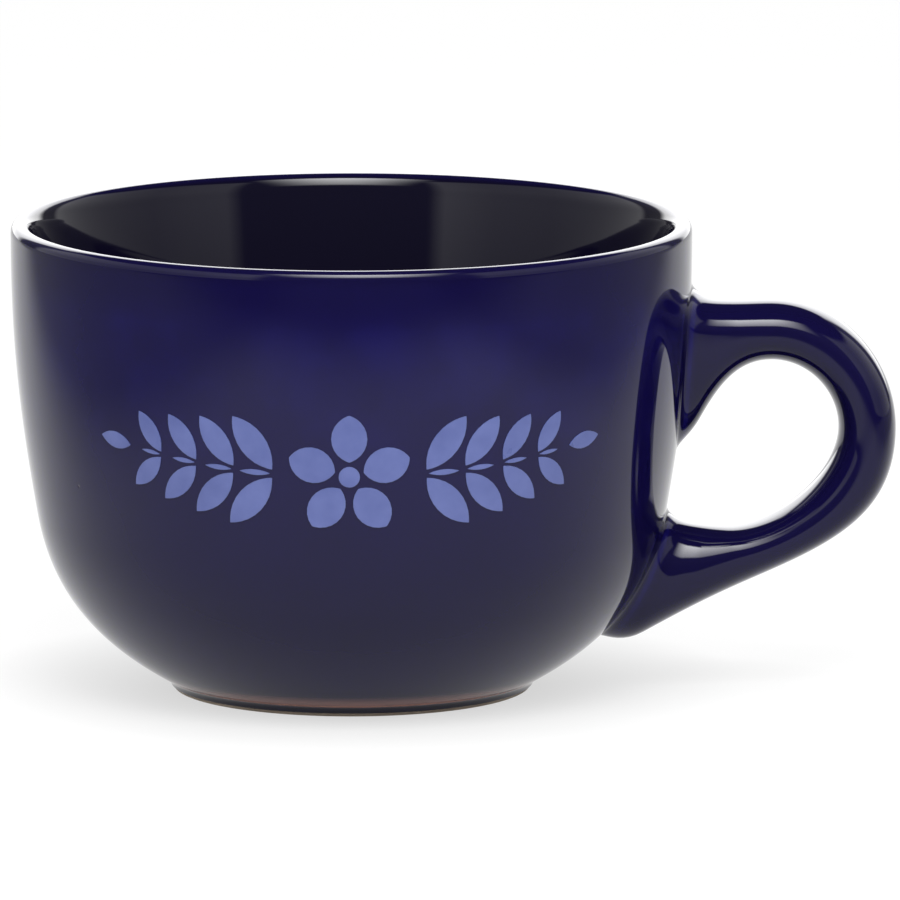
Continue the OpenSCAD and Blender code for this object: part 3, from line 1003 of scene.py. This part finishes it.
def garland():
    """Flat shapes of the print, each with its distance along the print's bow from the flower."""
    petal = leaf(PETAL_L, PETAL_W)
    shapes = [(0, dot(DOT_R))]
    shapes += [(0, moved(petal, [PETAL_GAP, 0], 90 + k * 360 / PETALS)) for k in range(PETALS)]
    single = leaf(LEAF_L, LEAF_W)
    pair = [moved(leaf(STEM_L, STEM_W), [STEM_START, 0])]
    pair += [moved(single, [STEM_W, 0], lean) for lean in (-LEAF_LEAN, LEAF_LEAN)]
    for side in (-1, 1):
        for k in range(LEAF_PAIRS + 1):
            along = side * (FIRST_LEAF + k * LEAF_PITCH)
            for shape in pair if k < LEAF_PAIRS else [single]:
                shapes.append((along, moved(shape, scale=1 - LEAF_SHRINK * k, mirrored=side < 0)))
    return shapes


def make_print():
    """Garland laid on the front of the glaze."""
    points, normals, faces = [], [], []
    for along, shape in garland():
        slope = math.degrees(math.atan(2 * PRINT_RISE * along / PRINT_HALF ** 2))
        flat, shape_faces = moved(shape, degrees=slope)
        z = PRINT_Z + PRINT_RISE * (along / PRINT_HALF) ** 2 + flat[:, 1]
        angle = np.arcsin(flat[:, 0] / wall_radius(z)) + along / BELLY_R - math.pi / 2
        normal = wall_normal(angle, z)
        faces += [tuple(len(points) + corner for corner in face) for face in shape_faces]
        points.extend(on_wall(angle, z) + PRINT_T * normal)
        normals.extend(normal)
    shell, ways, smooth, rims = coat(np.array(points), np.array(normals), faces, PRINT_T)
    make_piece("front_print", "print", shell, smooth, rims, ways)


# Stage

def on_stage(name, data):
    """Object of the stage, put into the scene."""
    made = bpy.data.objects.new(name, data)
    bpy.context.scene.collection.objects.link(made)
    return made


def look_at(thing, target, distance, elevation, round_to_right=0.0):
    """Puts a camera or lamp this far from its target, in front and above by these degrees, and aims it."""
    up = math.radians(elevation)
    right = math.radians(round_to_right)
    level = math.cos(up)
    way = Vector((level * math.sin(right), -level * math.cos(right), math.sin(up)))
    thing.location = target + distance * way
    thing.rotation_euler = (target - thing.location).to_track_quat("-Z", "Y").to_euler()


def make_camera():
    """Camera at the photograph's angle, far off with a long lens."""
    data = bpy.data.cameras.new("camera")
    data.sensor_width = 36
    data.lens = 553.9
    data.clip_end = 20
    camera = on_stage("camera", data)
    look_at(camera, Vector((0.0159, 0, 0.0385)), distance=2.24, elevation=9.46)
    bpy.context.scene.camera = camera


# Soft lamp: its sides, the radiance of its middle, where its upper and lower edges start to fade,
# as a share of its height from the middle, how bright it is low down, and the shares of its height
# between which it brightens
SOFTBOX_W = 0.8
SOFTBOX_H = 0.56
SOFTBOX_RADIANCE = 24
SOFTBOX_FADE = 0.36
SOFTBOX_LOW = 0.35
SOFTBOX_RISE = 0.1, 0.9


def make_softbox():
    """Soft lamp above the front: brightest high in its middle, fading to its edges."""
    data = bpy.data.lights.new("softbox", "AREA")
    data.shape = "RECTANGLE"
    data.size = SOFTBOX_W
    data.size_y = SOFTBOX_H
    data.energy = math.pi * SOFTBOX_W * SOFTBOX_H * SOFTBOX_RADIANCE
    data.use_nodes = True
    tree = data.node_tree
    tree.nodes.clear()
    place = add(tree, "ShaderNodeNewGeometry").outputs["Parametric"]
    parts = add(tree, "ShaderNodeSeparateXYZ", {"Vector": place}).outputs
    from_middle = [maths(tree, "ABSOLUTE", maths(tree, "SUBTRACT", parts[axis], 0.5)) for axis in "XY"]
    middle = spread(tree, from_middle[0], 0.0, 0.5, 1.0, 0.0, smooth=True)
    edges = spread(tree, from_middle[1], SOFTBOX_FADE, 0.5, 1.0, 0.0, smooth=True)
    upper = spread(tree, parts["Y"], *SOFTBOX_RISE, SOFTBOX_LOW, 1.0)
    glow = maths(tree, "MULTIPLY", maths(tree, "MULTIPLY", middle, edges), upper)
    emission = add(tree, "ShaderNodeEmission", {"Strength": glow}).outputs[0]
    add(tree, "ShaderNodeOutputLight", {"Surface": emission})
    lamp = on_stage("softbox", data)
    look_at(lamp, Vector((0, 0, 0.04)), distance=0.8, elevation=50, round_to_right=4.5)
    lamp.visible_camera = False


# Floor: its radius, count of sides and plain tone, and its white, painted light that fades between two
# places in front of the mug, and to both sides of a middle line between two distances that grow behind the
# mug
STAGE_R = 3.0
STAGE_SIDES = 96
STAGE_TONE = 0.8
FRONT_FADE = -0.42, -0.18
FRONT_DIM = 0.12
WHITE_MIDDLE = 0.025
SIDE_FADE = 0.135, 0.28
SIDE_DIM = 0.4
SIDE_GROWTH = 0.5
# The white's own glow, the lamplight it shows beside that, and its shade close to the mug:
# reach and least share
WHITE_GLOW = 0.93
WHITE_TONE = 0.1
SHADE_REACH = 0.025
SHADE_LEAST = 0.65


def floor_white(tree):
    """How white the floor's painted light shows at each place, from its fades in front and to the sides.
    """
    place = add(tree, "ShaderNodeTexCoord").outputs["Object"]
    parts = add(tree, "ShaderNodeSeparateXYZ", {"Vector": place}).outputs
    front = spread(tree, parts["Y"], *FRONT_FADE, FRONT_DIM, 1.0, smooth=True)
    growth = maths(tree, "MULTIPLY", maths(tree, "MAXIMUM", parts["Y"], 0.0), SIDE_GROWTH)
    from_middle = maths(tree, "ABSOLUTE", maths(tree, "SUBTRACT", parts["X"], WHITE_MIDDLE))
    past = maths(tree, "SUBTRACT", from_middle, growth)
    sides = spread(tree, past, *SIDE_FADE, 1.0, SIDE_DIM, smooth=True)
    return maths(tree, "MULTIPLY", front, sides)


def pale_floor():
    """Pale matt floor that shows white to the camera and in mirrors, and keeps a soft shadow there."""
    finish = bpy.data.materials.new("pale_floor")
    finish.use_nodes = True
    tree = finish.node_tree
    tree.nodes.clear()
    path = add(tree, "ShaderNodeLightPath").outputs
    seen = maths(tree, "MAXIMUM", path["Is Camera Ray"], path["Is Glossy Ray"])
    seen = maths(tree, "MAXIMUM", seen, path["Is Transmission Ray"])
    white = floor_white(tree)
    near = add(tree, "ShaderNodeAmbientOcclusion", {"Distance": SHADE_REACH}).outputs["AO"]
    open_share = spread(tree, near, 0.0, 1.0, SHADE_LEAST, 1.0)
    bright = maths(tree, "MULTIPLY", maths(tree, "MULTIPLY", white, open_share), WHITE_GLOW)
    glow = add(tree, "ShaderNodeEmission", {"Strength": bright}).outputs[0]
    level = maths(tree, "MULTIPLY", white, WHITE_TONE)
    tone = add(tree, "ShaderNodeCombineColor", {"Red": level, "Green": level, "Blue": level}).outputs[0]
    shade = add(tree, "ShaderNodeBsdfDiffuse", {"Color": tone}).outputs[0]
    shown = add(tree, "ShaderNodeAddShader", {0: glow, 1: shade}).outputs[0]
    plain = add(tree, "ShaderNodeBsdfDiffuse", {"Color": grey(STAGE_TONE)}).outputs[0]
    surface = add(tree, "ShaderNodeMixShader", {0: seen, 1: plain, 2: shown}).outputs[0]
    add(tree, "ShaderNodeOutputMaterial", {"Surface": surface})
    return finish


def make_floor():
    """Round floor that the mug stands on."""
    mesh = bpy.data.meshes.new("floor")
    angles = np.linspace(0, 2 * math.pi, STAGE_SIDES + 1)[:-1]
    rim = [(STAGE_R * math.cos(angle), STAGE_R * math.sin(angle), 0) for angle in angles]
    mesh.from_pydata(rim, [], [tuple(range(len(rim)))])
    mesh.materials.append(pale_floor())
    floor = on_stage("floor", mesh)


# Walls of the light tent: degrees round from the front, positive towards the handle, how bright each is,
# and how high it stands, as the sine of its elevation
TENT = [
    (-180, 3.2, 0.55), (-154, 3.2, 0.55), (-148, 0.15, 0.6), (-134, 0.15, 0.6), (-130, 0.95, 0.6),
    (-80, 0.7, 0.7), (-55, 0.8, 0.7), (-35, 1.15, 0.7), (-29, 0.12, 0.7), (42, 0.12, 0.7), (48, 0.9, 0.7),
    (65, 0.8, 0.7), (80, 0.65, 0.7), (134, 0.95, 0.6), (138, 0.15, 0.6), (148, 0.15, 0.6),
    (154, 3.2, 0.55), (180, 3.2, 0.55),
]
# Softness of the walls' tops, the heights between which the walls brighten upwards, as sines too,
# by how much, and the brightness of the roof
TENT_BLUR = 0.04
TENT_RISE = 0.16, 0.36
TENT_GAIN = 0.9, 1.35
ROOF = 0.03


def make_world():
    """Soft pale tent round the mug, open and dim in front, with a dark roof."""
    world = bpy.data.worlds.new("tent")
    world.use_nodes = True
    bpy.context.scene.world = world
    tree = world.node_tree
    tree.nodes.clear()
    way = add(tree, "ShaderNodeTexCoord").outputs["Generated"]
    parts = add(tree, "ShaderNodeSeparateXYZ", {"Vector": way}).outputs
    angle = maths(tree, "ARCTAN2", parts["X"], maths(tree, "MULTIPLY", parts["Y"], -1.0))
    share = spread(tree, angle, -math.pi, math.pi)
    walls = toned(tree, share, [(0.5 + degrees / 360, grey(bright)) for degrees, bright, _ in TENT])
    tops = toned(tree, share, [(0.5 + degrees / 360, grey(top)) for degrees, _, top in TENT])
    over = maths(tree, "SUBTRACT", parts["Z"], tops)
    above = spread(tree, over, -TENT_BLUR, TENT_BLUR, smooth=True)
    gain = spread(tree, parts["Z"], *TENT_RISE, *TENT_GAIN)
    lit = add(tree, "ShaderNodeVectorMath", {0: walls, "Scale": gain}, operation="SCALE")
    colour = mix_colour(tree, above, lit.outputs["Vector"], grey(ROOF))
    sky = add(tree, "ShaderNodeBackground", {"Color": colour, "Strength": 1.0}).outputs[0]
    add(tree, "ShaderNodeOutputWorld", {"Surface": sky})


make_camera()
make_softbox()
make_floor()
make_world()
make_bowl()
make_handle()
make_joint("upper_joint", UPPER_END, list(handle_under[:FILLET_RINGS + 1]))
make_joint("lower_joint", LOWER_END, list(handle_under[RINGS - FILLET_RINGS - 1:][::-1]))
make_outer_glaze()
make_inner_glaze()
make_handle_glaze()
make_underside_glaze()
make_print()

bpy.context.scene.view_settings.view_transform = "Standard"
